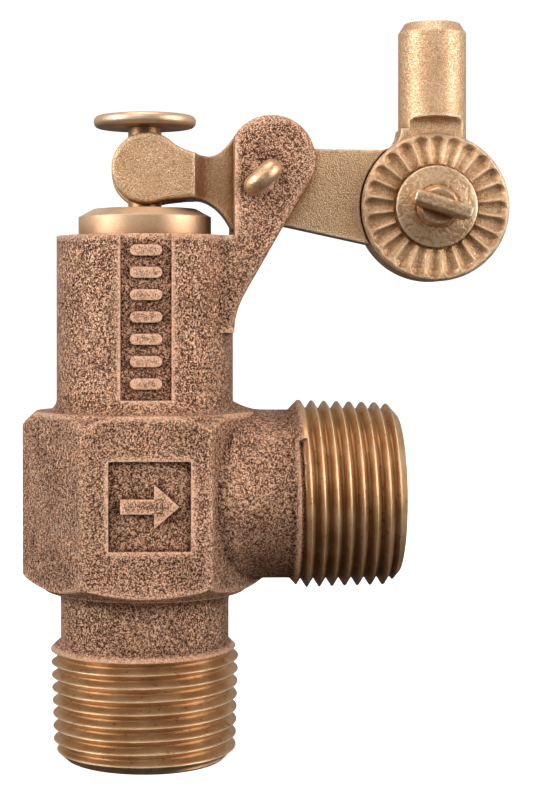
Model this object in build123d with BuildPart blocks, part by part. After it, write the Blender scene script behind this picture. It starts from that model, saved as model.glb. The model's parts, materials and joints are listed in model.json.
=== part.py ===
"""Float valve, 3/4 inch NPT, angle pattern, with an adjustable float-rod holder.

Frame: millimetres, +Z up.  The origin is the centre of the inlet's end face.  The inlet and the
plunger run along Z, the outlet leaves along +X, and every lever axis is parallel to Y.  The front
of the valve is the -Y side.  The plunger is drawn PLUNGER_LIFT above its closed position.
"""

import math
import os

from build123d import *

os.makedirs("parts", exist_ok=True)

# ---- driving dimensions: pipe threads (3/4-14 NPT) --------------------------------------------
PITCH = 25.4 / 14
TAPER = 1 / 32  # radius per length
THREAD_DEPTH = 1.25
ROOT_FLAT = 0.08
MOUTH_HALF = 0.5 * PITCH  # the cut's half width just outside the crests
MOUTH_OVER = 0.05
GROOVE_OVER = 1.2 * PITCH  # how far the cut runs on past the crests
CREST_R = 13.0  # at the outer end of either thread
INLET_THREAD = (14.0, 140.0)  # length, and the angle where the helix starts
OUTLET_THREAD = (12.7, 57.0)
END_RIM_R = 11.35
END_CHAMFER = 1.45
RUNOUT = 1.3
BORE_R = 8.5
PASSAGE_R = 8.0  # between the chamber and the outlet's bore

# ---- driving dimensions: body -----------------------------------------------------------------
NECK_R = 12.02
HEX_R = 17.6
HEX_LOW = 24.0
HEX_HIGH = 49.3
HEX_CORNER_FILLET = 0.7
HEX_TOP_RIM = ((17.6, 47.2), (17.1, 47.9), (15.6, 49.3))  # rounded like a nut's
HEX_LOW_RIM = ((14.2, 24.0), (15.2, 24.6), (17.1, 25.6), (17.6, 26.3))
BARREL_R = 12.63
BARREL_TOP = 74.2
FLARE = 1.7
OUTLET_Z = 37.4
OUTLET_END = 36.05
OUTLET_BORE_LENGTH = 12.1
OUTLET_ROOT = (13.6, 12.1)  # radius of the flared root, and where it starts along X
OUTLET_FLARE = 5.0
OUTLET_FLARE_ENDS = ((0, 1), (0.6, 1))  # the flare's directions where it starts and ends
CHAMBER_R = 10.4
CHAMBER_TOP = 48.5
CHAMBER_SLOPE = 1.0
EAR = (17.7, 84.9)
EAR_R = 6.14
EAR_LEFT = 12.5
EAR_ROOT = 8.0
EAR_OUT_Y = 7.1
EAR_FOOT = (12.45, 60.5)
EAR_KNEE = (14.1, 66.3)
EAR_SIDE = (22.9, 81.7)  # where the sloping edge meets the round top
EAR_FILLET = 0.7
SLOT_Y = 2.9
SLOT_FLOOR = 73.55
OVERCUT = 1.0  # how far a cutting shape reaches beyond what it cuts
MARGIN = 0.1  # how far a selector's limit stands from the edges that it parts
PANEL_HALF_WIDTH = 3.5
PANEL_BOTTOM = 51.3
PANEL_Y = 11.75
MARK_RAISE = 0.55
MARK_COUNT = 7
MARK_SIZE = (4.4, 1.5)
MARK_PITCH = 3.05
WINDOW = (11.2, 12.2)
WINDOW_CENTRE = (0.45, 37.1)
WINDOW_DEPTH = 0.6
ARROW = (8.0, 6.0, 3.4, 2.0)  # length, head width, head length and shaft width

# ---- driving dimensions: seat and plunger -----------------------------------------------------
PLUNGER_LIFT = 3.0
SEAT_TOP = 27.0
SEAT_LIP_R = 7.2
SEAT_LIP_CHAMFER = 0.3
SEAT_SHOULDER = 25.4
ORIFICE_R = 6.35
RING_R = 9.4
RING_BOTTOM = 22.0
GASKET = 0.8
PLUNGER_R = 9.5
RUNNING_GAP = 0.06
CAP_TOP = 78.1
CAP_CHAMFER = (2.1, 1.15)  # radial and axial
GUIDE_BOTTOM = 57.0
GUIDE_TAPER = 2.0
GROOVE_Z = (61.5, 68.5)
GROOVE_WIDTH = 2.3
GROOVE_R = 7.74
CORD_R = 0.88
CORD_GAP = 0.02
SHANK_R = 4.6
DISC_HOLDER_R = 8.3
DISC_HOLDER_TOP = 36.5
DISC_HOLDER_CHAMFER = 1.0
SKIRT = 0.6
SEAT_DISC_R = 7.4
SEAT_DISC_T = 3.2
RETAINER_R = 4.7
RETAINER_T = 1.1
RETAINER_CHAMFER = 0.3
DISC_SCREW_R = 1.95
DISC_SCREW_HEAD = (3.3, 2.1)  # radius and height
DISC_SCREW_LENGTH = 9.0
DISC_SCREW_FILLET = 0.6
DISC_SCREW_GAP = 0.1
HOLE_END_GAP = 0.5  # left free at the blind end of a tapped hole
DRIVER_SLOT = 1.0
STEM_R = 2.4
STUD_THREAD_R = 2.0
STUD_THREAD_LENGTH = 9.0
LIFT_DISC_R = 7.33
LIFT_DISC_Z = (89.75, 91.45)  # underside and top
LIFT_DISC_FILLET = 0.75

# ---- driving dimensions: lever ----------------------------------------------------------------
PIVOT = (16.2, 82.05)
PIN_R = 1.45
LOBE = (0.3, 83.6)
LOBE_R = 5.06
FORK_Y = 6.25
FORK_SLOT_Y = 2.8
FORK_SLOT_END = 3.6
FORK_RAMP = (6.9, 9.4)
FORK_RAMP_ENDS = ((0.25, -1), (1, -0.1))
FORK_FILLET = 0.6
NECK_TOP = ((3.55, 87.46), (7.0, 85.8), (9.6, 85.6), (12.9, 88.4))
NECK_TOP_ENDS = ((0.766, -0.643), (0.7, 0.7))
NECK_LOW = ((2.03, 78.86), (4.8, 79.35), (7.6, 79.45), (10.2, 78.2), (12.4, 75.2))
NECK_LOW_ENDS = ((0.94, 0.34), (0.45, -0.89))
WEB_Y = 2.6
WEB_TOP = 88.55  # right above the pivot
HUB = (41.35, 78.37)
HUB_R = 10.6
RELIEF_R = 10.8
DISC_Y = 3.4
HALF_GAP = 0.05  # each half of the hub stops this far from the middle plane
BAR_TOP_Z = 86.55
BAR_TOP_FROM = (22.3, 86.7)
BAR_LOW = ((19.0, 75.95), (32.06, 73.1))
REAR_BOSS = 3.0
TOOTH_COUNT = 24
TOOTH_DEPTH = 0.55
TOOTH_R = (6.3, 9.7)
TOOTH_SHARE = 0.74  # of each pitch that is valley
TOOTH_SLOPE = 20.0
FACE_VALLEY_FIRST = 88.6  # angle of one of the rounded valleys on the holder's front
FACE_VALLEY_R = 9.1  # where each valley is widest
FACE_VALLEY_HALF = 1.12
FACE_VALLEY_DEPTH = 0.6

# ---- driving dimensions: rod holder and thumb screw -------------------------------------------
ELBOW_R = 3.0
SOCKET_R = 4.85
SOCKET_TOP = 104.8
SOCKET_CHAMFER = (0.9, 1.4)  # radial and axial
TANG_Y = 3.0
TANG_TOP = 90.0
ROUND_BOTTOM = 91.2
SOCKET_RAMP_ENDS = ((0, 1), (-1, 0.15))
ROD_HOLE_R = 2.55
ROD_HOLE_DEPTH = 13.0
ROD_HOLE_MOUTH = 0.5
COLLAR_POCKET = (6.1, 0.4)  # radius and depth
RIM_CHAMFER = 0.4
SCREW_R = 2.38
SCREW_END_Y = 7.4
SCREW_END_CHAMFER = 0.4
CLEARANCE_HOLE_R = 2.7
WASHER_R = 5.8
WASHER_T = 1.7
WASHER_CONE = 0.45
WASHER_FLAT = 0.2  # the flat ring round the thumb screw's neck
NECK = (3.05, 2.5, 1.5)  # base radius, top radius and height
BLADE_HALF_WIDTH = (2.4, 4.1)
BLADE_T = 2.1
BLADE_FOOT = 0.4
BLADE_SHOULDER = 2.2
BLADE_REACH = 5.2
BLADE_CORNER = 1.4
BLADE_FILLET = 0.6
BLADE_TILT = 17.7

# ---- driving dimensions: pivot cotter pin -----------------------------------------------------
EYE_ANGLE = 43.0
EYE_HALF = 1.65
EYE_REACH = (7.5, 8.7, 10.9)
LEG_SPLIT = 0.03
LEG_BEND = 9.4
LEG_TIP = (3.4, 12.6)
BEND_R = 1.6
EYE_BEND_R = 1.3


def front_plane(y, centre=(0, 0)):
    """A plane at Y = y that looks at the front: its x is X, its y is Z, and it extrudes to -Y."""
    return Plane(origin=(centre[0], y, centre[1]), x_dir=(1, 0, 0), z_dir=(0, -1, 0))


def finish(part, name):
    """Label a finished piece and write it."""
    part.label = name
    export_step(part, "parts/" + name + ".step")


def threaded_stub(length, thread_length, turn):
    """A solid pipe end with a right-hand NPT thread, rising along +Z from its end face at Z = 0."""
    start = END_CHAMFER - PITCH
    radius = CREST_R + (start - END_CHAMFER) * TAPER
    crest_end = END_CHAMFER + thread_length
    with BuildPart() as groove:
        with BuildSketch(front_plane(0, (radius, start))):
            with BuildLine():
                Polyline(
                    (MOUTH_OVER, -MOUTH_HALF),
                    (MOUTH_OVER, MOUTH_HALF),
                    (-THREAD_DEPTH, ROOT_FLAT),
                    (-THREAD_DEPTH, -ROOT_FLAT),
                    close=True,
                )
            make_face()
        with BuildLine() as path:
            Helix(
                pitch=PITCH,
                height=thread_length + GROOVE_OVER,
                radius=radius,
                center=(0, 0, start),
                cone_angle=math.degrees(math.atan(TAPER)),
            )
        sweep(path=path.line, is_frenet=True)
    with BuildPart() as stub:
        with BuildSketch(Plane.XZ):
            with BuildLine():
                Polyline(
                    (0, 0),
                    (END_RIM_R, 0),
                    (CREST_R, END_CHAMFER),
                    (CREST_R + thread_length * TAPER, crest_end),
                    (NECK_R, crest_end + RUNOUT),
                    (NECK_R, length),
                    (0, length),
                    close=True,
                )
            make_face()
        revolve(axis=Axis.Z)
        add(groove.part.rotate(Axis.Z, turn), mode=Mode.SUBTRACT)
    return stub.part


# ---- valve body -------------------------------------------------------------------------------
outlet_frame = Plane(origin=(OUTLET_END, 0, OUTLET_Z), x_dir=(0, 0, -1), z_dir=(-1, 0, 0))
outlet_sketch_plane = Plane(
    origin=(OUTLET_END, 0, OUTLET_Z), x_dir=(0, 0, 1), z_dir=(0, -1, 0)
)
outlet_axis = Axis((OUTLET_END, 0, OUTLET_Z), (1, 0, 0))
outlet_root = OUTLET_END - OUTLET_ROOT[1]
outlet_neck = outlet_root - OUTLET_FLARE
inlet_neck = HEX_LOW - FLARE
inlet_stub = threaded_stub(inlet_neck, *INLET_THREAD)
outlet_stub = outlet_frame.from_local_coords(threaded_stub(outlet_neck, *OUTLET_THREAD))

with BuildPart() as hexagon:
    with BuildSketch(Plane.XY.offset(HEX_LOW)):
        RegularPolygon(HEX_R, 6)
    extrude(amount=HEX_HIGH - HEX_LOW)
    fillet(hexagon.edges().filter_by(Axis.Z), HEX_CORNER_FILLET)
    with BuildSketch(Plane.XZ):
        with BuildLine():
            Polyline((0, HEX_LOW), *HEX_LOW_RIM, *HEX_TOP_RIM, (0, HEX_HIGH), close=True)
        make_face()
    revolve(axis=Axis.Z, mode=Mode.INTERSECT)

with BuildPart() as ears:
    with BuildSketch(front_plane(EAR_OUT_Y)):
        with BuildLine():
            Polyline(
                EAR_SIDE, EAR, (EAR_ROOT, EAR[1]), (EAR_ROOT, EAR_FOOT[1]), EAR_FOOT
            )
            slope = Vector(EAR_SIDE[0] - EAR_KNEE[0], EAR_SIDE[1] - EAR_KNEE[1]).normalized()
            Spline(EAR_FOOT, EAR_KNEE, tangents=[(0, 1), slope])
            Line(EAR_KNEE, EAR_SIDE)
        make_face()
        with Locations(EAR):
            Circle(EAR_R)
        with Locations((EAR_LEFT, BARREL_TOP)):
            Rectangle(EAR_LEFT, EAR[1], align=(Align.MAX, Align.MIN), mode=Mode.SUBTRACT)
    extrude(amount=2 * EAR_OUT_Y)
    outer_edges = ears.edges().filter_by(
        lambda e: e.center().X > EAR_LEFT + MARGIN and abs(e.center().Y) > SLOT_Y
    )
    fillet(outer_edges, EAR_FILLET)

with BuildPart() as valve_body:
    with BuildSketch(Plane.XZ):
        with BuildLine():
            arc = FLARE * math.sqrt(0.5)
            Line((0, inlet_neck), (NECK_R, inlet_neck))
            ThreePointArc(
                (NECK_R, inlet_neck),
                (NECK_R + FLARE - arc, inlet_neck + arc),
                (NECK_R + FLARE, HEX_LOW),
            )
            Polyline(
                (NECK_R + FLARE, HEX_LOW),
                (BARREL_R + FLARE, HEX_LOW),
                (BARREL_R + FLARE, HEX_HIGH),
            )
            ThreePointArc(
                (BARREL_R + FLARE, HEX_HIGH),
                (BARREL_R + FLARE - arc, HEX_HIGH + FLARE - arc),
                (BARREL_R, HEX_HIGH + FLARE),
            )
            Polyline(
                (BARREL_R, HEX_HIGH + FLARE), (BARREL_R, BARREL_TOP), (0, BARREL_TOP), (0, inlet_neck)
            )
        make_face()
    revolve(axis=Axis.Z)
    add(hexagon.part)
    with BuildSketch(outlet_sketch_plane):
        with BuildLine():
            Line((0, outlet_neck), (NECK_R, outlet_neck))
            Spline(
                (NECK_R, outlet_neck),
                (OUTLET_ROOT[0], outlet_root),
                tangents=OUTLET_FLARE_ENDS,
            )
            Polyline(
                (OUTLET_ROOT[0], outlet_root),
                (OUTLET_ROOT[0], OUTLET_END - HEX_R / 2),
                (0, OUTLET_END - HEX_R / 2),
                (0, outlet_neck),
            )
        make_face()
    revolve(axis=outlet_axis)
    add(ears.part)
    add(inlet_stub)
    add(outlet_stub)
    # the water way, the seat's bore, the chamber and the plunger's bore
    with BuildSketch(Plane.XZ):
        with BuildLine():
            seat_bore_low = RING_BOTTOM - GASKET
            plunger_bore = PLUNGER_R + RUNNING_GAP
            Polyline(
                (0, 0),
                (BORE_R, 0),
                (BORE_R, seat_bore_low),
                (RING_R, seat_bore_low),
                (RING_R, SEAT_SHOULDER),
                (CHAMBER_R, SEAT_SHOULDER + CHAMBER_SLOPE),
                (CHAMBER_R, CHAMBER_TOP - CHAMBER_SLOPE),
                (plunger_bore, CHAMBER_TOP),
                (plunger_bore, BARREL_TOP),
                (0, BARREL_TOP),
                close=True,
            )
        make_face()
    revolve(axis=Axis.Z, mode=Mode.SUBTRACT)
    for radius, depth in ((BORE_R, OUTLET_BORE_LENGTH), (PASSAGE_R, OUTLET_END)):
        with BuildSketch(Plane.YZ.offset(OUTLET_END)):
            with Locations((0, OUTLET_Z)):
                Circle(radius)
        extrude(amount=-depth, mode=Mode.SUBTRACT)
    # the slot between the ears and the hole for the pivot pin
    with BuildSketch(front_plane(SLOT_Y)):
        with Locations((EAR_LEFT - OVERCUT, SLOT_FLOOR)):
            slot_height = EAR[1] + EAR_R - SLOT_FLOOR + OVERCUT
            Rectangle(2 * BARREL_R, slot_height, align=(Align.MIN, Align.MIN))
    extrude(amount=2 * SLOT_Y, mode=Mode.SUBTRACT)
    with BuildSketch(front_plane(EAR_OUT_Y)):
        with Locations(PIVOT):
            Circle(PIN_R + RUNNING_GAP)
    extrude(amount=2 * EAR_OUT_Y, mode=Mode.SUBTRACT)
    # the cast panel on the barrel and its row of plain raised bars
    with BuildSketch(front_plane(-PANEL_Y)):
        with Locations((0, PANEL_BOTTOM)):
            Rectangle(2 * PANEL_HALF_WIDTH, BARREL_TOP, align=(Align.CENTER, Align.MIN))
    extrude(amount=BARREL_R, mode=Mode.SUBTRACT)
    with BuildSketch(front_plane(-PANEL_Y)):
        with Locations((0, (PANEL_BOTTOM + BARREL_TOP) / 2)):
            with GridLocations(1, MARK_PITCH, 1, MARK_COUNT):
                SlotOverall(*MARK_SIZE)
    extrude(amount=MARK_RAISE)
    # the square window on the hexagon's front flat and its raised flow arrow
    flat_y = HEX_R * math.cos(math.pi / 6)
    with BuildSketch(front_plane(-flat_y + WINDOW_DEPTH, WINDOW_CENTRE)):
        Rectangle(*WINDOW)
    extrude(amount=WINDOW_DEPTH + OVERCUT, mode=Mode.SUBTRACT)
    with BuildSketch(front_plane(-flat_y + WINDOW_DEPTH, WINDOW_CENTRE)):
        with BuildLine():
            length, head_width, head_length, shaft = ARROW
            Polyline(
                (length / 2, 0),
                (length / 2 - head_length, head_width / 2),
                (length / 2 - head_length, shaft / 2),
                (-length / 2, shaft / 2),
                (-length / 2, -shaft / 2),
                (length / 2 - head_length, -shaft / 2),
                (length / 2 - head_length, -head_width / 2),
                close=True,
            )
        make_face()
    extrude(amount=MARK_RAISE)
finish(valve_body.part, "valve_body")

# ---- seat -------------------------------------------------------------------------------------
with BuildPart() as seat_ring:
    with BuildSketch(Plane.XZ):
        with BuildLine():
            Polyline(
                (ORIFICE_R, RING_BOTTOM),
                (RING_R, RING_BOTTOM),
                (RING_R, SEAT_SHOULDER),
                (SEAT_LIP_R, SEAT_SHOULDER),
                (SEAT_LIP_R, SEAT_TOP),
                (ORIFICE_R + SEAT_LIP_CHAMFER, SEAT_TOP),
                (ORIFICE_R, SEAT_TOP - SEAT_LIP_CHAMFER),
                close=True,
            )
        make_face()
    revolve(axis=Axis.Z)
finish(seat_ring.part, "seat_ring")

with BuildPart() as seat_gasket:
    with BuildSketch(Plane.XY.offset(RING_BOTTOM - GASKET)):
        Circle(RING_R)
        Circle(BORE_R, mode=Mode.SUBTRACT)
    extrude(amount=GASKET)
finish(seat_gasket.part, "seat_gasket")

# ---- plunger ----------------------------------------------------------------------------------
disc_low = SEAT_TOP + PLUNGER_LIFT
disc_high = disc_low + SEAT_DISC_T


def groove_outline(z):
    """The four corners of one O-ring groove in the plunger's outline, going up."""
    half = GROOVE_WIDTH / 2
    return [(PLUNGER_R, z - half), (GROOVE_R, z - half), (GROOVE_R, z + half), (PLUNGER_R, z + half)]


with BuildPart() as plunger:
    with BuildSketch(Plane.XZ):
        with BuildLine():
            Polyline(
                (0, disc_high),
                (SEAT_DISC_R, disc_high),
                (SEAT_DISC_R, disc_low + SKIRT),
                (DISC_HOLDER_R, disc_low + SKIRT),
                (DISC_HOLDER_R, DISC_HOLDER_TOP - DISC_HOLDER_CHAMFER),
                (SHANK_R, DISC_HOLDER_TOP),
                (SHANK_R, GUIDE_BOTTOM - GUIDE_TAPER),
                (PLUNGER_R, GUIDE_BOTTOM),
                *groove_outline(GROOVE_Z[0]),
                *groove_outline(GROOVE_Z[1]),
                (PLUNGER_R, CAP_TOP - CAP_CHAMFER[1]),
                (PLUNGER_R - CAP_CHAMFER[0], CAP_TOP),
                (0, CAP_TOP),
                close=True,
            )
        make_face()
    revolve(axis=Axis.Z)
    with BuildSketch(Plane.XY.offset(disc_high)):
        Circle(DISC_SCREW_R)
    extrude(amount=DISC_SCREW_LENGTH, mode=Mode.SUBTRACT)
    with BuildSketch(Plane.XY.offset(CAP_TOP)):
        Circle(STUD_THREAD_R)
    extrude(amount=-STUD_THREAD_LENGTH, mode=Mode.SUBTRACT)
finish(plunger.part, "plunger")

for ring_name, ring_z in (("o_ring_lower", GROOVE_Z[0]), ("o_ring_upper", GROOVE_Z[1])):
    with BuildPart() as o_ring:
        with BuildSketch(Plane.XZ):
            with Locations((GROOVE_R + CORD_GAP + CORD_R, ring_z)):
                Circle(CORD_R)
        revolve(axis=Axis.Z)
    finish(o_ring.part, ring_name)

with BuildPart() as seat_disc:
    with BuildSketch(Plane.XY.offset(disc_low)):
        Circle(SEAT_DISC_R)
        Circle(DISC_SCREW_R + DISC_SCREW_GAP, mode=Mode.SUBTRACT)
    extrude(amount=SEAT_DISC_T)
finish(seat_disc.part, "seat_disc")

with BuildPart() as disc_retainer:
    with BuildSketch(Plane.XY.offset(disc_low - RETAINER_T)):
        Circle(RETAINER_R)
        Circle(DISC_SCREW_R + DISC_SCREW_GAP, mode=Mode.SUBTRACT)
    extrude(amount=RETAINER_T)
    low_rim = disc_retainer.edges().group_by(Axis.Z)[0].sort_by(SortBy.LENGTH)[-1]
    chamfer(low_rim, RETAINER_CHAMFER)
finish(disc_retainer.part, "disc_retainer")

with BuildPart() as disc_screw:
    head_top = disc_low - RETAINER_T
    with BuildSketch(Plane.XY.offset(head_top - DISC_SCREW_HEAD[1])):
        Circle(DISC_SCREW_HEAD[0])
    extrude(amount=DISC_SCREW_HEAD[1])
    fillet(disc_screw.edges().group_by(Axis.Z)[0], DISC_SCREW_FILLET)
    with BuildSketch(Plane.XY.offset(head_top)):
        Circle(DISC_SCREW_R)
    extrude(amount=disc_high + DISC_SCREW_LENGTH - HOLE_END_GAP - head_top)
    with BuildSketch(Plane.XY.offset(head_top - DISC_SCREW_HEAD[1])):
        Rectangle(2 * DISC_SCREW_HEAD[0], DRIVER_SLOT)
    extrude(amount=DRIVER_SLOT, mode=Mode.SUBTRACT)
finish(disc_screw.part, "disc_screw")

with BuildPart() as lift_stud:
    with BuildSketch(Plane.XY.offset(CAP_TOP - STUD_THREAD_LENGTH + HOLE_END_GAP)):
        Circle(STUD_THREAD_R)
    extrude(amount=STUD_THREAD_LENGTH - HOLE_END_GAP)
    with BuildSketch(Plane.XY.offset(CAP_TOP)):
        Circle(STEM_R)
    extrude(amount=LIFT_DISC_Z[0] - CAP_TOP)
    with BuildSketch(Plane.XY.offset(LIFT_DISC_Z[0])):
        Circle(LIFT_DISC_R)
    extrude(amount=LIFT_DISC_Z[1] - LIFT_DISC_Z[0])
    fillet(lift_stud.edges().sort_by(SortBy.LENGTH)[-2:], LIFT_DISC_FILLET)
finish(lift_stud.part, "lift_stud")

# ---- lever ------------------------------------------------------------------------------------
hub_centre = Vector(*HUB)
elbow_centre = Vector(HUB[0] - SOCKET_R - ELBOW_R, BAR_TOP_Z + ELBOW_R)
towards_elbow = (elbow_centre - hub_centre).normalized()
elbow_near = elbow_centre - towards_elbow * ELBOW_R
elbow_start = Vector(elbow_centre.X, BAR_TOP_Z)
elbow_end = Vector(elbow_centre.X + ELBOW_R, elbow_centre.Y)


def elbow_arc(first, last):
    """The part of the elbow's round between two of its points."""
    middle = ((first + last) * 0.5 - elbow_centre).normalized() * ELBOW_R + elbow_centre
    return ThreePointArc(first, middle, last)


def tooth_valleys():
    """One ring of radial valleys about the sketch's origin."""
    inner, outer = TOOTH_R
    half = math.tan(math.pi / TOOTH_COUNT * TOOTH_SHARE)
    with PolarLocations(0, TOOTH_COUNT, start_angle=90):
        Polygon(
            (inner, -inner * half),
            (outer, -outer * half),
            (outer, outer * half),
            (inner, inner * half),
            align=None,
        )


with BuildPart() as fork_ramps:
    with BuildSketch(Plane.XY.offset(LOBE[1] - 2 * LOBE_R)):
        with BuildLine():
            ramp_from, ramp_to = FORK_RAMP
            Spline((ramp_from, FORK_Y), (ramp_to, WEB_Y), tangents=FORK_RAMP_ENDS)
            Polyline(
                (ramp_to, WEB_Y),
                (PIVOT[0], WEB_Y),
                (PIVOT[0], FORK_Y + OVERCUT),
                (ramp_from, FORK_Y + OVERCUT),
                (ramp_from, FORK_Y),
            )
        make_face()
        mirror(about=Plane.XZ)
    extrude(amount=4 * LOBE_R)

with BuildPart() as lever:
    with BuildSketch(front_plane(FORK_Y)):
        with Locations(LOBE):
            Circle(LOBE_R)
        with BuildLine():
            top = Spline(*NECK_TOP, tangents=NECK_TOP_ENDS)
            bottom = Spline(*NECK_LOW, tangents=NECK_LOW_ENDS)
            Line(top @ 0, bottom @ 0)
            Polyline(top @ 1, PIVOT, bottom @ 1)
        make_face()
    extrude(amount=2 * FORK_Y)
    add(fork_ramps.part, mode=Mode.SUBTRACT)
    with BuildSketch(Plane.XY.offset(LOBE[1] - 2 * LOBE_R)):
        with Locations((FORK_SLOT_END, 0)):
            Circle(FORK_SLOT_Y)
            Rectangle(4 * LOBE_R, 2 * FORK_SLOT_Y, align=(Align.MAX, Align.CENTER))
    extrude(amount=4 * LOBE_R, mode=Mode.SUBTRACT)
    lobe_edges = lever.edges().filter_by(
        lambda e: abs(e.center().Y) > FORK_Y - MARGIN and e.center().X < FORK_RAMP[0] - MARGIN
    )
    fillet(lobe_edges, FORK_FILLET)
    with BuildSketch(front_plane(WEB_Y)):
        with BuildLine():
            Polyline(PIVOT, NECK_TOP[-1], (PIVOT[0], WEB_TOP), BAR_TOP_FROM, elbow_start)
            elbow_arc(elbow_start, elbow_near)
            Polyline(elbow_near, hub_centre, BAR_LOW[1], BAR_LOW[0], NECK_LOW[-1], PIVOT)
        make_face()
    extrude(amount=2 * WEB_Y)
    with BuildSketch(front_plane(HALF_GAP, HUB)):
        Circle(RELIEF_R)
    extrude(amount=2 * WEB_Y, mode=Mode.SUBTRACT)
    with BuildSketch(front_plane(DISC_Y, HUB)):
        Circle(HUB_R)
    extrude(amount=DISC_Y - HALF_GAP)
    with BuildSketch(front_plane(DISC_Y + REAR_BOSS, HUB)):
        Circle(WASHER_R)
    extrude(amount=REAR_BOSS)
    with BuildSketch(front_plane(HALF_GAP, HUB)):
        tooth_valleys()
    extrude(amount=-TOOTH_DEPTH, taper=TOOTH_SLOPE, mode=Mode.SUBTRACT)
    with BuildSketch(front_plane(DISC_Y + REAR_BOSS, HUB)):
        Circle(SCREW_R + RUNNING_GAP)
    extrude(amount=DISC_Y + REAR_BOSS, mode=Mode.SUBTRACT)
    with BuildSketch(front_plane(WEB_Y, PIVOT)):
        Circle(PIN_R + RUNNING_GAP)
    extrude(amount=2 * WEB_Y, mode=Mode.SUBTRACT)
finish(lever.part, "lever")

# ---- rod holder -------------------------------------------------------------------------------
with BuildPart() as socket_flats:
    with BuildSketch(Plane.YZ.offset(HUB[0] - 2 * SOCKET_R)):
        with BuildLine():
            outside = SOCKET_R + OVERCUT
            Spline((-TANG_Y, TANG_TOP), (-SOCKET_R, ROUND_BOTTOM), tangents=SOCKET_RAMP_ENDS)
            Polyline(
                (-SOCKET_R, ROUND_BOTTOM),
                (-outside, ROUND_BOTTOM),
                (-outside, HUB[1]),
                (-TANG_Y, HUB[1]),
                (-TANG_Y, TANG_TOP),
            )
        make_face()
        mirror(about=Plane.YZ)
    extrude(amount=4 * SOCKET_R)

with BuildPart() as holder_disc:
    with BuildSketch(front_plane(-HALF_GAP, HUB)):
        Circle(HUB_R)
    extrude(amount=DISC_Y - HALF_GAP)
    chamfer(holder_disc.edges().group_by(Axis.Y)[0], RIM_CHAMFER)

# one valley is a cone that opens outwards from the hub's centre and ends in a ball
hub_axis = Axis((HUB[0], 0, HUB[1]), (0, -1, 0))
ball_r = (FACE_VALLEY_HALF**2 + FACE_VALLEY_DEPTH**2) / (2 * FACE_VALLEY_DEPTH)
ball_lift = math.asin((ball_r - FACE_VALLEY_DEPTH) / FACE_VALLEY_R)
ball_at = FACE_VALLEY_R / math.cos(ball_lift)
cone_half = math.asin(ball_r / ball_at)
touch = ball_at * math.cos(cone_half)
with BuildPart() as face_valley:
    valley_plane = Plane(
        origin=(HUB[0], -DISC_Y, HUB[1]),
        x_dir=(math.cos(ball_lift), -math.sin(ball_lift), 0),
        z_dir=(math.sin(ball_lift), math.cos(ball_lift), 0),
    )
    with BuildSketch(valley_plane):
        with BuildLine():
            side = (touch * math.cos(cone_half), touch * math.sin(cone_half))
            top_of_ball = (ball_at, ball_r)
            Line((0, 0), side)
            ThreePointArc(side, top_of_ball, (ball_at + ball_r, 0))
            Line((ball_at + ball_r, 0), (0, 0))
        make_face()
    revolve(axis=Axis(valley_plane.origin, valley_plane.x_dir))

with BuildPart() as rod_holder:
    with BuildSketch(Plane.XZ):
        with BuildLine():
            chamfer_r, chamfer_z = SOCKET_CHAMFER
            Polyline(
                (HUB[0], HUB[1] + TOOTH_R[0]),
                (HUB[0] + SOCKET_R, HUB[1] + TOOTH_R[0]),
                (HUB[0] + SOCKET_R, SOCKET_TOP - chamfer_z),
                (HUB[0] + SOCKET_R - chamfer_r, SOCKET_TOP),
                (HUB[0], SOCKET_TOP),
                close=True,
            )
        make_face()
    revolve(axis=Axis((HUB[0], 0, 0), (0, 0, 1)))
    add(socket_flats.part, mode=Mode.SUBTRACT)
    with BuildSketch(front_plane(TANG_Y)):
        with BuildLine():
            elbow_arc(elbow_near, elbow_end)
            Polyline(elbow_end, (HUB[0], elbow_end.Y), hub_centre, elbow_near)
        make_face()
    extrude(amount=2 * TANG_Y)
    with BuildSketch(front_plane(2 * SOCKET_R, HUB)):
        Circle(RELIEF_R)
    extrude(amount=2 * SOCKET_R + HALF_GAP, mode=Mode.SUBTRACT)
    add(holder_disc.part)
    for i in range(TOOTH_COUNT):
        angle = FACE_VALLEY_FIRST + 360 / TOOTH_COUNT * i
        add(face_valley.part.rotate(hub_axis, angle), mode=Mode.SUBTRACT)
    with BuildSketch(front_plane(-HALF_GAP, HUB)):
        tooth_valleys()
    extrude(amount=TOOTH_DEPTH, taper=TOOTH_SLOPE, mode=Mode.SUBTRACT)
    with BuildSketch(front_plane(-DISC_Y, HUB)):
        Circle(COLLAR_POCKET[0])
    extrude(amount=-COLLAR_POCKET[1], mode=Mode.SUBTRACT)
    with BuildSketch(front_plane(0, HUB)):
        Circle(CLEARANCE_HOLE_R)
    extrude(amount=DISC_Y, mode=Mode.SUBTRACT)
    with BuildSketch(Plane.XY.offset(SOCKET_TOP)):
        with Locations((HUB[0], 0)):
            Circle(ROD_HOLE_R)
    extrude(amount=-ROD_HOLE_DEPTH, mode=Mode.SUBTRACT)
    mouth = rod_holder.edges().group_by(Axis.Z)[-1].sort_by(SortBy.LENGTH)[0]
    chamfer(mouth, ROD_HOLE_MOUTH)
finish(rod_holder.part, "rod_holder")

# ---- thumb screw and its washer ---------------------------------------------------------------
washer_back = DISC_Y - COLLAR_POCKET[1]
washer_front = washer_back + WASHER_T
hub_profile_plane = Plane(origin=(HUB[0], 0, HUB[1]), x_dir=(0, 0, 1), z_dir=(-1, 0, 0))

with BuildPart() as thumb_screw_washer:
    with BuildSketch(hub_profile_plane):
        with BuildLine():
            Polyline(
                (SCREW_R + RUNNING_GAP, -washer_back),
                (WASHER_R, -washer_back),
                (WASHER_R, -washer_front + WASHER_CONE),
                (NECK[0] + WASHER_FLAT, -washer_front),
                (SCREW_R + RUNNING_GAP, -washer_front),
                close=True,
            )
        make_face()
    revolve(axis=hub_axis)
finish(thumb_screw_washer.part, "thumb_screw_washer")

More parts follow.
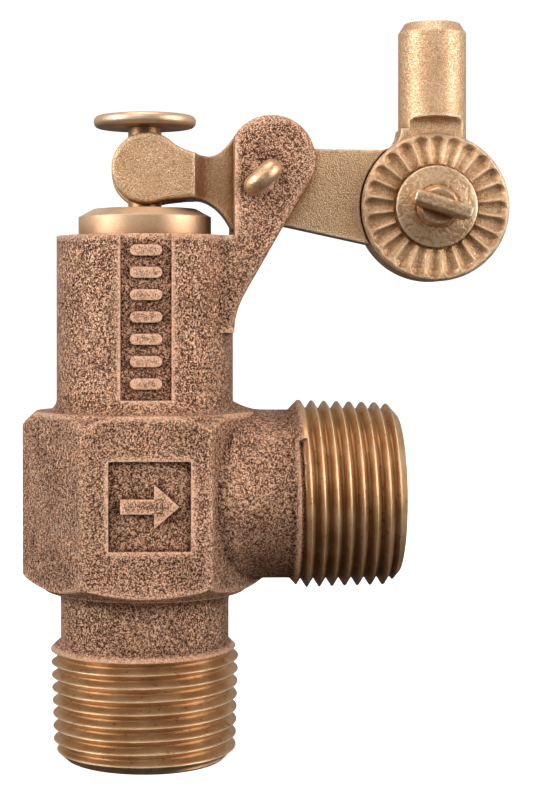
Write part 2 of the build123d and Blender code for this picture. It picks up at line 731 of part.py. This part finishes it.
blade_c = math.cos(math.radians(BLADE_TILT))
blade_s = math.sin(math.radians(BLADE_TILT))
blade_plane = Plane(
    origin=(HUB[0], -washer_front, HUB[1]),
    x_dir=(blade_c, 0, -blade_s),
    z_dir=(-blade_s, 0, -blade_c),
)

with BuildPart() as thumb_screw:
    with BuildSketch(blade_plane.offset(-BLADE_T / 2)) as blade_outline:
        with BuildLine():
            base, wide = BLADE_HALF_WIDTH
            Polyline(
                (base, BLADE_FOOT),
                (wide, BLADE_SHOULDER),
                (wide, BLADE_REACH),
                (-wide, BLADE_REACH),
                (-wide, BLADE_SHOULDER),
                (-base, BLADE_FOOT),
                close=True,
            )
        make_face()
        fillet(blade_outline.vertices().group_by(Axis.Y)[0], BLADE_CORNER)
    extrude(amount=BLADE_T)
    flat_edges = thumb_screw.edges().filter_by(
        lambda e: abs(blade_plane.to_local_coords(e.center()).Z) > BLADE_T / 2 - MARGIN
    )
    fillet(
        flat_edges.filter_by(lambda e: e.center().Y < -washer_front - BLADE_FOOT - MARGIN),
        BLADE_FILLET,
    )
    with BuildSketch(hub_profile_plane):
        with BuildLine():
            neck_r, neck_top_r, neck_h = NECK
            Polyline(
                (0, SCREW_END_Y),
                (SCREW_R - SCREW_END_CHAMFER, SCREW_END_Y),
                (SCREW_R, SCREW_END_Y - SCREW_END_CHAMFER),
                (SCREW_R, -washer_front),
                (neck_r, -washer_front),
                (neck_top_r, -washer_front - neck_h),
                (0, -washer_front - neck_h),
                close=True,
            )
        make_face()
    revolve(axis=hub_axis)
finish(thumb_screw.part, "thumb_screw")

# ---- pivot cotter pin -------------------------------------------------------------------------
eye_c = math.cos(math.radians(EYE_ANGLE))
eye_s = math.sin(math.radians(EYE_ANGLE))
pin_plane = Plane(
    origin=(PIVOT[0], 0, PIVOT[1]), x_dir=(eye_c, 0, eye_s), z_dir=(eye_s, 0, -eye_c)
)
half_route = [
    (LEG_TIP[0], -LEG_TIP[1]),
    (LEG_SPLIT, -LEG_BEND),
    (LEG_SPLIT, EYE_REACH[0]),
    (EYE_HALF, EYE_REACH[1]),
    (EYE_HALF, EYE_REACH[2]),
]
route = half_route + [(-u, v) for u, v in reversed(half_route)]
bend_radii = [BEND_R, BEND_R, BEND_R, EYE_BEND_R, EYE_BEND_R, BEND_R, BEND_R, BEND_R]

with BuildLine(pin_plane) as wire:
    FilletPolyline(*route, radius=bend_radii)

wire_r = PIN_R - LEG_SPLIT

with BuildPart() as pivot_cotter_pin:
    for span in wire.wire().order_edges():
        with BuildLine() as run:
            if span.geom_type == GeomType.LINE:
                Line(span @ 0, span @ 1)
            else:
                ThreePointArc(span @ 0, span @ 0.5, span @ 1)
        across = Plane(origin=run.line @ 0, x_dir=pin_plane.z_dir, z_dir=run.line % 0)
        with BuildSketch(across):
            Circle(wire_r)
            Rectangle(4 * wire_r, 2 * wire_r, align=(Align.CENTER, Align.MAX), mode=Mode.SUBTRACT)
        sweep(path=run.line)
finish(pivot_cotter_pin.part, "pivot_cotter_pin")
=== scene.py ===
"""Looks of the float valve: cast, machined and drawn bronze, in soft studio light.

Everything is in metres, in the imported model's frame.  Z is up along the inlet, X points out along
the outlet, and the front of the valve is its -Y side.
"""

import json
import math

import bpy
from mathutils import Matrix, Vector


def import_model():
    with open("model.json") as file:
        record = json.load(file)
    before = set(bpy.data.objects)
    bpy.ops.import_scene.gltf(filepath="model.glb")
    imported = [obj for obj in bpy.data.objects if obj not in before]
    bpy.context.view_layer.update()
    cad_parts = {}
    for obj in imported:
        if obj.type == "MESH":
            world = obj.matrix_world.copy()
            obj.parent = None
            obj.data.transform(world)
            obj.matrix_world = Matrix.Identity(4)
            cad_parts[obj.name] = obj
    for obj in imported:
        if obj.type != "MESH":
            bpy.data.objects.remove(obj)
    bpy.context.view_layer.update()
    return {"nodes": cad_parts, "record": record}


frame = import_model()
MM = 0.001

# ---- places read from the frame ---------------------------------------------------------------
MOUNTS = {mount["name"]: mount for mount in frame["record"]["mounts"]}
OUTLET = Vector(MOUNTS["outlet_thread"]["pos_m"])
INLET = Vector(MOUNTS["inlet_thread"]["pos_m"])

# ---- camera: level, turned a little from +Y towards +X, well back from the valve --------------
CAMERA_PLACE = Vector((-3.55, -258.0, 63.7)) * MM
CAMERA_YAW = math.radians(-1.6)
CAMERA_LENS = 81.0
CAMERA_SHIFT = (0.124, -0.1125)
CAMERA_CLIP = (0.01, 10)

# ---- thread and surface sizes -----------------------------------------------------------------
INLET_THREAD = 15.5 * MM  # from the end face to where the machined surface stops
OUTLET_THREAD = 14.2 * MM
THREAD_REACH = 15 * MM  # farthest machined surface from the outlet's axis
THREAD_SOFT = 0.15 * MM  # half the width of the blend where the machined surface stops
THREAD_RAGGED = 0.5 * MM  # how far the place of that blend wanders
GRAIN = 0.15 * MM  # size of one pit of the blasted casting
FINE_GRAIN = 0.2 * MM

# ---- which part of a node's output counts: the values that become 0 and 1 ---------------------
EDGE_SPAN = (0.97, 0.65)  # inside ambient occlusion, from open faces to convex edges
HOLLOW_SPAN = (0.95, 0.45)  # ambient occlusion, from open faces to deep corners
GRAIN_SPAN = (0.44, 0.56)
PIT_SPAN = (0.1, 0.75)
NICK_SPAN = (0.66, 0.72)
PATCH_SPAN = (0.3, 0.7)

# ---- roughness and metallic share -------------------------------------------------------------
CAST_ROUGH, MACHINED_ROUGH, CAST_METALLIC = 0.56, 0.36, 0.75
YELLOW_METALLIC = 0.8
TURNED_METALLIC = 0.7
RUBBER_ROUGH = 0.6

# ---- colours, linear --------------------------------------------------------------------------
CAST_DARK = (0.030, 0.008, 0.004)
CAST_MID = (0.28, 0.118, 0.058)
CAST_LIGHT = (0.95, 0.60, 0.40)
GOLD_DARK = (0.27, 0.11, 0.025)
GOLD_MID = (0.60, 0.36, 0.19)
GOLD_LIGHT = (0.90, 0.69, 0.48)
MACHINED_DARK = (0.16, 0.06, 0.018)
MACHINED_MID = (0.50, 0.27, 0.115)
MACHINED_LIGHT = (0.90, 0.68, 0.44)
TURNED_DARK = (0.30, 0.15, 0.07)
TURNED_MID = (0.58, 0.37, 0.22)
TURNED_LIGHT = (0.86, 0.66, 0.46)
BLACK_RUBBER = (0.02, 0.02, 0.02)
RED_FIBRE = (0.16, 0.04, 0.02)

# ---- backdrop: a round floor with a rim, in metres --------------------------------------------
FLOOR_R, CENTRE_R, RIM_BEND, RIM_TOP = 1.6, 0.02, 0.4, 1.8
BEND_STEPS, SECTORS = 12, 64
BACKDROP_DARK = (0.80, 0.80, 0.80)
BACKDROP_LIGHT = (0.82, 0.82, 0.82)
BACKDROP_ROUGH, BACKDROP_GLOW = 0.9, 0.75

# ---- surroundings -----------------------------------------------------------------------------
# Brightness from straight down (0) past the horizon (0.5) to straight up (1).
WORLD_STOPS = ((0.0, 0.05), (0.36, 0.12), (0.5, 0.42), (0.62, 0.60), (1.0, 0.70))
WORLD_SIDES = (0.55, 1.15)  # strength ahead and behind, and strength to the left and right

# ---- soft boxes: place, side and power --------------------------------------------------------
LAMP_TARGET = Vector((0.012, 0.0, 0.052))
LAMPS = {
    "left": ((-0.62, -0.25, 0.28), 0.45, 5.0),
    "right": ((0.62, -0.28, 0.18), 0.45, 4.0),
    "front": ((-0.20, -0.70, 0.45), 0.3, 0.9),
    "top": ((0.0, -0.10, 0.7), 0.4, 2.0),
}


class Graph:
    """A small helper that builds one node material."""

    def __init__(self, name):
        self.material = bpy.data.materials.new(name)
        self.material.use_nodes = True
        self.tree = self.material.node_tree
        self.tree.nodes.clear()
        self.shader = self.node("ShaderNodeBsdfPrincipled")
        output = self.node("ShaderNodeOutputMaterial")
        self.link(self.shader.outputs[0], output.inputs["Surface"])
        self.place = self.node("ShaderNodeTexCoord").outputs["Object"]

    def node(self, kind, **settings):
        """A new node with its settings."""
        made = self.tree.nodes.new(kind)
        for key, value in settings.items():
            setattr(made, key, value)
        return made

    def link(self, source, target):
        """source feeds target, or is its plain value."""
        if isinstance(source, bpy.types.NodeSocket):
            self.tree.links.new(source, target)
        else:
            target.default_value = source

    def noise(self, size, detail=2.0, roughness=0.5, place=None, distortion=0.0):
        """Noise from 0 to 1 whose patches are about size across."""
        made = self.node("ShaderNodeTexNoise")
        self.link(place or self.place, made.inputs["Vector"])
        made.inputs["Scale"].default_value = 1.0 / size
        made.inputs["Detail"].default_value = detail
        made.inputs["Roughness"].default_value = roughness
        made.inputs["Distortion"].default_value = distortion
        return made.outputs["Fac"]

    def cells(self, size):
        """Distance to the nearest cell centre, in cells that are about size across."""
        made = self.node("ShaderNodeTexVoronoi", feature="F1")
        self.link(self.place, made.inputs["Vector"])
        made.inputs["Scale"].default_value = 1.0 / size
        return made.outputs["Distance"]

    def math(self, operation, first, second=0.0, third=None, clamp=False):
        """One Math node."""
        made = self.node("ShaderNodeMath", operation=operation, use_clamp=clamp)
        self.link(first, made.inputs[0])
        self.link(second, made.inputs[1])
        if third is not None:
            self.link(third, made.inputs[2])
        return made.outputs[0]

    def layers(self, tone, *parts):
        """tone plus each (value, weight) in turn, with the last sum held between 0 and 1."""
        for count, (value, weight) in enumerate(parts, start=1):
            tone = self.math("MULTIPLY_ADD", value, weight, tone, clamp=count == len(parts))
        return tone

    def span(self, value, low, high, to_low=0.0, to_high=1.0):
        """value between low and high, stretched to to_low and to_high and held there outside."""
        made = self.node("ShaderNodeMapRange", clamp=True)
        self.link(value, made.inputs["Value"])
        made.inputs["From Min"].default_value = low
        made.inputs["From Max"].default_value = high
        made.inputs["To Min"].default_value = to_low
        made.inputs["To Max"].default_value = to_high
        return made.outputs["Result"]

    def ramp(self, value, *stops):
        """A colour ramp with (position, colour) stops."""
        made = self.node("ShaderNodeValToRGB")
        self.link(value, made.inputs["Fac"])
        elements = made.color_ramp.elements
        while len(elements) < len(stops):
            elements.new(0.5)
        for element, (position, colour) in zip(elements, stops):
            element.position = position
            element.color = (*colour, 1.0)
        return made.outputs["Color"]

    def three_tones(self, value, dark, middle, light):
        """A colour ramp from dark over middle to light."""
        return self.ramp(value, (0.0, dark), (0.5, middle), (1.0, light))

    def mix(self, factor, first, second):
        """Two colours mixed."""
        made = self.node("ShaderNodeMix", data_type="RGBA", blend_type="MIX")
        self.link(factor, made.inputs[0])
        self.link(first, made.inputs[6])
        self.link(second, made.inputs[7])
        return made.outputs[2]

    def axes(self):
        """The three coordinates of the surface's place."""
        made = self.node("ShaderNodeSeparateXYZ")
        self.link(self.place, made.inputs[0])
        return made.outputs

    def vector(self, x, y, z):
        """A vector from three values."""
        made = self.node("ShaderNodeCombineXYZ")
        for value, socket in zip((x, y, z), made.inputs):
            self.link(value, socket)
        return made.outputs[0]

    def bump(self, height, distance, under=None):
        """A bump whose height of 1 stands for distance."""
        made = self.node("ShaderNodeBump")
        made.inputs["Strength"].default_value = 1.0
        made.inputs["Distance"].default_value = distance
        self.link(height, made.inputs["Height"])
        if under is not None:
            self.link(under, made.inputs["Normal"])
        return made.outputs["Normal"]

    def soft_edges(self, radius):
        """Normals rounded over the edges."""
        made = self.node("ShaderNodeBevel", samples=4)
        made.inputs["Radius"].default_value = radius
        return made.outputs["Normal"]

    def painted_highlight_mask(self, reach):
        """Up to 1 on convex edges and 0 on open faces, over about the reach; it paints highlights
        into the colour.
        """
        made = self.node("ShaderNodeAmbientOcclusion", samples=6, inside=True)
        made.inputs["Distance"].default_value = reach
        return self.span(made.outputs["AO"], *EDGE_SPAN)

    def painted_shade_mask(self, reach):
        """1 in deep corners and 0 on open faces; it paints shade into the colour."""
        made = self.node("ShaderNodeAmbientOcclusion", samples=6)
        made.inputs["Distance"].default_value = reach
        return self.span(made.outputs["AO"], *HOLLOW_SPAN)

    def finish(self, colour, roughness, normal, metallic):
        """Feeds the shader and returns the material."""
        self.link(colour, self.shader.inputs["Base Color"])
        self.link(roughness, self.shader.inputs["Roughness"])
        self.link(normal, self.shader.inputs["Normal"])
        self.shader.inputs["Metallic"].default_value = metallic
        return self.material


def grained(graph, size):
    """The pits and grains of a blasted casting, from 0 to 1."""
    fine = graph.noise(size, detail=1.5, roughness=0.6, distortion=0.3)
    coarse = graph.noise(2.6 * size, detail=1.0)
    both = graph.math("MULTIPLY_ADD", coarse, 0.3, graph.math("MULTIPLY", fine, 0.7))
    return graph.span(both, *GRAIN_SPAN)


def cast_bronze():
    """Sand-cast red bronze, blasted, with machined pipe threads at its two ends."""
    graph = Graph("cast_red_bronze")
    axes = graph.axes()
    grain = grained(graph, GRAIN)
    pits = graph.span(graph.cells(1.3 * GRAIN), *PIT_SPAN)
    patches = graph.noise(6 * MM, detail=3)
    rounded = graph.soft_edges(0.5 * MM)
    edges = graph.painted_highlight_mask(1.1 * MM)
    corners = graph.painted_shade_mask(2.2 * MM)

    speckle = graph.math("MULTIPLY_ADD", pits, 0.2, graph.math("MULTIPLY", grain, 0.8))
    patchy = graph.math("ADD", speckle, graph.span(patches, *PATCH_SPAN, -0.1, 0.1))
    # Painted highlights on the convex edges and painted shade in the corners, on top of the real
    # grain and patches.
    tone = graph.layers(patchy, (edges, 0.6), (corners, -0.4))
    cast = graph.three_tones(tone, CAST_DARK, CAST_MID, CAST_LIGHT)

    machined = thread_colour(graph)
    on_thread = thread_mask(graph, axes["X"], axes["Z"])
    colour = graph.mix(on_thread, cast, machined)
    rough = graph.math("MULTIPLY_ADD", on_thread, MACHINED_ROUGH - CAST_ROUGH, CAST_ROUGH)

    off_thread = graph.math("SUBTRACT", 1.0, on_thread)
    height = graph.math("MULTIPLY", speckle, off_thread)
    normal = graph.bump(height, 0.22 * MM, under=rounded)
    return graph.finish(colour, rough, normal, CAST_METALLIC)


def thread_mask(graph, x, z):
    """1 on the two threaded ends and 0 on the cast surface."""
    wander = graph.noise(1.5 * MM)
    ragged = graph.math("MULTIPLY_ADD", wander, THREAD_RAGGED, -THREAD_RAGGED / 2)
    inlet = graph.math("ADD", z, ragged)
    stop = INLET.z + INLET_THREAD
    inlet = graph.span(inlet, stop + THREAD_SOFT, stop - THREAD_SOFT)
    outlet = graph.math("ADD", x, ragged)
    start = OUTLET.x - OUTLET_THREAD
    outlet = graph.span(outlet, start - THREAD_SOFT, start + THREAD_SOFT)
    below_ear = graph.math("LESS_THAN", z, OUTLET.z + THREAD_REACH)
    return graph.math("MAXIMUM", inlet, graph.math("MULTIPLY", outlet, below_ear))


def thread_colour(graph):
    """Turned bronze: painted highlights on the crests, painted shade in the roots, fine tool lines
    and a few small nicks.
    """
    lines = graph.noise(0.12 * MM, detail=1.0)
    stains = graph.noise(3.5 * MM, detail=4)
    nicks = graph.span(graph.noise(0.8 * MM, detail=1.0), *NICK_SPAN)
    roots = graph.painted_shade_mask(0.5 * MM)
    crests = graph.painted_highlight_mask(0.16 * MM)
    stained = graph.span(stains, *PATCH_SPAN, 0.3, 0.55)
    # The crest term is a painted highlight and the root term is painted shade; the tool lines,
    # stains and nicks are the metal's own.
    tone = graph.layers(stained, (lines, 0.25), (crests, 0.5), (roots, -0.15), (nicks, -0.25))
    return graph.three_tones(tone, MACHINED_DARK, MACHINED_MID, MACHINED_LIGHT)


def yellow_bronze(name, grain_size, depth, roughness=0.42):
    """Smooth-cast yellow bronze with painted highlights on its edges and painted shade in its
    corners.
    """
    graph = Graph(name)
    grain = grained(graph, grain_size)
    patches = graph.noise(5 * MM, detail=3)
    rounded = graph.soft_edges(0.35 * MM)
    edges = graph.painted_highlight_mask(0.6 * MM)
    corners = graph.painted_shade_mask(1.5 * MM)
    patchy = graph.span(patches, *PATCH_SPAN, 0.34, 0.48)
    # Painted highlights on the convex edges and painted shade in the corners.
    tone = graph.layers(patchy, (grain, 0.25), (edges, 0.35), (corners, -0.7))
    colour = graph.three_tones(tone, GOLD_DARK, GOLD_MID, GOLD_LIGHT)
    normal = graph.bump(grain, depth, under=rounded)
    return graph.finish(colour, roughness, normal, YELLOW_METALLIC)


def turned_bronze(name, roughness=0.45):
    """Satin turned bronze."""
    graph = Graph(name)
    z = graph.axes()["Z"]
    lines = graph.noise(0.25 * MM, detail=2, place=graph.vector(0.0, 0.0, z))
    grain = graph.noise(FINE_GRAIN, detail=2)
    patches = graph.noise(4 * MM, detail=3)
    rounded = graph.soft_edges(0.2 * MM)
    corners = graph.painted_shade_mask(4 * MM)
    patchy = graph.span(patches, *PATCH_SPAN, 0.3, 0.5)
    # Painted shade in the corners; the turning lines, grain and patches are the metal's own.
    tone = graph.layers(patchy, (lines, 0.2), (corners, -0.6), (grain, 0.3))
    colour = graph.three_tones(tone, TURNED_DARK, TURNED_MID, TURNED_LIGHT)
    normal = graph.bump(graph.math("ADD", lines, grain), 0.02 * MM, under=rounded)
    return graph.finish(colour, roughness, normal, TURNED_METALLIC)


def rubber(name, colour):
    """Dull moulded rubber."""
    graph = Graph(name)
    grain = graph.noise(FINE_GRAIN, detail=2)
    tone = graph.ramp(grain, (0.0, colour), (1.0, tuple(1.6 * c for c in colour)))
    normal = graph.bump(grain, 0.02 * MM)
    return graph.finish(tone, RUBBER_ROUGH, normal, metallic=0.0)


def paint(material, *names):
    """Gives CAD nodes one material."""
    for name in names:
        for slot in frame["nodes"][name].material_slots:
            slot.material = material


paint(cast_bronze(), "valve_body")
paint(
    yellow_bronze("cast_yellow_bronze", grain_size=0.2 * MM, depth=0.04 * MM),
    "lever",
    "rod_holder",
)
paint(
    yellow_bronze("screw_bronze", grain_size=0.5 * MM, depth=0.02 * MM, roughness=0.36),
    "thumb_screw",
    "thumb_screw_washer",
)
paint(turned_bronze("turned_bronze"), "plunger", "seat_ring", "disc_retainer", "disc_screw")
paint(turned_bronze("stud_bronze", roughness=0.38), "lift_stud")
paint(
    yellow_bronze("pin_brass", grain_size=0.25 * MM, depth=0.01 * MM, roughness=0.4),
    "pivot_cotter_pin",
)
paint(rubber("black_rubber", BLACK_RUBBER), "o_ring_lower", "o_ring_upper", "seat_disc")
paint(rubber("red_fibre", RED_FIBRE), "seat_gasket")


def backdrop():
    """A pale round floor whose rim curves up into a wall all round the valve."""
    profile = [(CENTRE_R, 0.0), (FLOOR_R, 0.0)]
    for i in range(1, BEND_STEPS + 1):
        angle = math.pi / 2 * i / BEND_STEPS
        out, up = RIM_BEND * math.sin(angle), RIM_BEND - RIM_BEND * math.cos(angle)
        profile.append((FLOOR_R + out, up))
    profile.append((FLOOR_R + RIM_BEND, RIM_TOP))
    turns = [2 * math.pi * j / SECTORS for j in range(SECTORS)]
    vertices = [(r * math.cos(t), r * math.sin(t), z) for r, z in profile for t in turns]
    faces = [tuple(range(SECTORS))]
    for i in range(len(profile) - 1):
        for j in range(SECTORS):
            near, far = i * SECTORS, (i + 1) * SECTORS
            following = (j + 1) % SECTORS
            faces.append((near + j, far + j, far + following, near + following))
    mesh = bpy.data.meshes.new("backdrop")
    mesh.from_pydata(vertices, [], faces)
    for polygon in mesh.polygons:
        polygon.use_smooth = True
    made = bpy.data.objects.new("backdrop", mesh)
    bpy.context.scene.collection.objects.link(made)
    graph = Graph("backdrop_white")
    soft = graph.ramp(graph.noise(0.5), (0.0, BACKDROP_DARK), (1.0, BACKDROP_LIGHT))
    graph.shader.inputs["Emission Color"].default_value = (1.0, 1.0, 1.0, 1.0)
    graph.shader.inputs["Emission Strength"].default_value = BACKDROP_GLOW
    normal = graph.bump(0.0, MM)
    mesh.materials.append(graph.finish(soft, BACKDROP_ROUGH, normal, metallic=0.0))
    made.visible_diffuse = False
    made.visible_glossy = False
    made.visible_shadow = False


def lamp(name, place, size, power):
    """A square soft box that faces the valve."""
    light = bpy.data.lights.new(name, "AREA")
    light.size = size
    light.energy = power
    made = bpy.data.objects.new(name, light)
    made.location = place
    made.rotation_mode = "QUATERNION"
    made.rotation_quaternion = (LAMP_TARGET - Vector(place)).to_track_quat("-Z", "Y")
    bpy.context.scene.collection.objects.link(made)


def camera():
    """The camera at the picture's viewing angle."""
    data = bpy.data.cameras.new("camera")
    data.lens = CAMERA_LENS
    data.shift_x, data.shift_y = CAMERA_SHIFT
    data.clip_start, data.clip_end = CAMERA_CLIP
    made = bpy.data.objects.new("camera", data)
    made.location = CAMERA_PLACE
    made.rotation_euler = (math.pi / 2, 0, CAMERA_YAW)
    bpy.context.scene.collection.objects.link(made)
    bpy.context.scene.camera = made


def world():
    """White surroundings, darker below the horizon and brighter to the left and right."""
    made = bpy.data.worlds.new("studio")
    made.use_nodes = True
    nodes, links = made.node_tree.nodes, made.node_tree.links
    place = nodes.new("ShaderNodeTexCoord")
    split = nodes.new("ShaderNodeSeparateXYZ")
    height = nodes.new("ShaderNodeMapRange")
    ramp = nodes.new("ShaderNodeValToRGB")
    links.new(place.outputs["Generated"], split.inputs[0])
    links.new(split.outputs["Z"], height.inputs["Value"])
    height.inputs["From Min"].default_value = -1.0
    links.new(height.outputs["Result"], ramp.inputs["Fac"])
    elements = ramp.color_ramp.elements
    while len(elements) < len(WORLD_STOPS):
        elements.new(0.5)
    for element, (position, value) in zip(elements, WORLD_STOPS):
        element.position = position
        element.color = (value, value, value, 1.0)
    sideways = nodes.new("ShaderNodeMath")
    sideways.operation = "MULTIPLY"
    links.new(split.outputs["X"], sideways.inputs[0])
    links.new(split.outputs["X"], sideways.inputs[1])
    strength = nodes.new("ShaderNodeMapRange")
    links.new(sideways.outputs[0], strength.inputs["Value"])
    strength.inputs["To Min"].default_value, strength.inputs["To Max"].default_value = WORLD_SIDES
    background = nodes["Background"]
    links.new(ramp.outputs["Color"], background.inputs["Color"])
    links.new(strength.outputs["Result"], background.inputs["Strength"])
    bpy.context.scene.world = made


backdrop()
world()
for lamp_name, settings in LAMPS.items():
    lamp(lamp_name, *settings)
camera()
bpy.context.scene.view_settings.view_transform = "Standard"
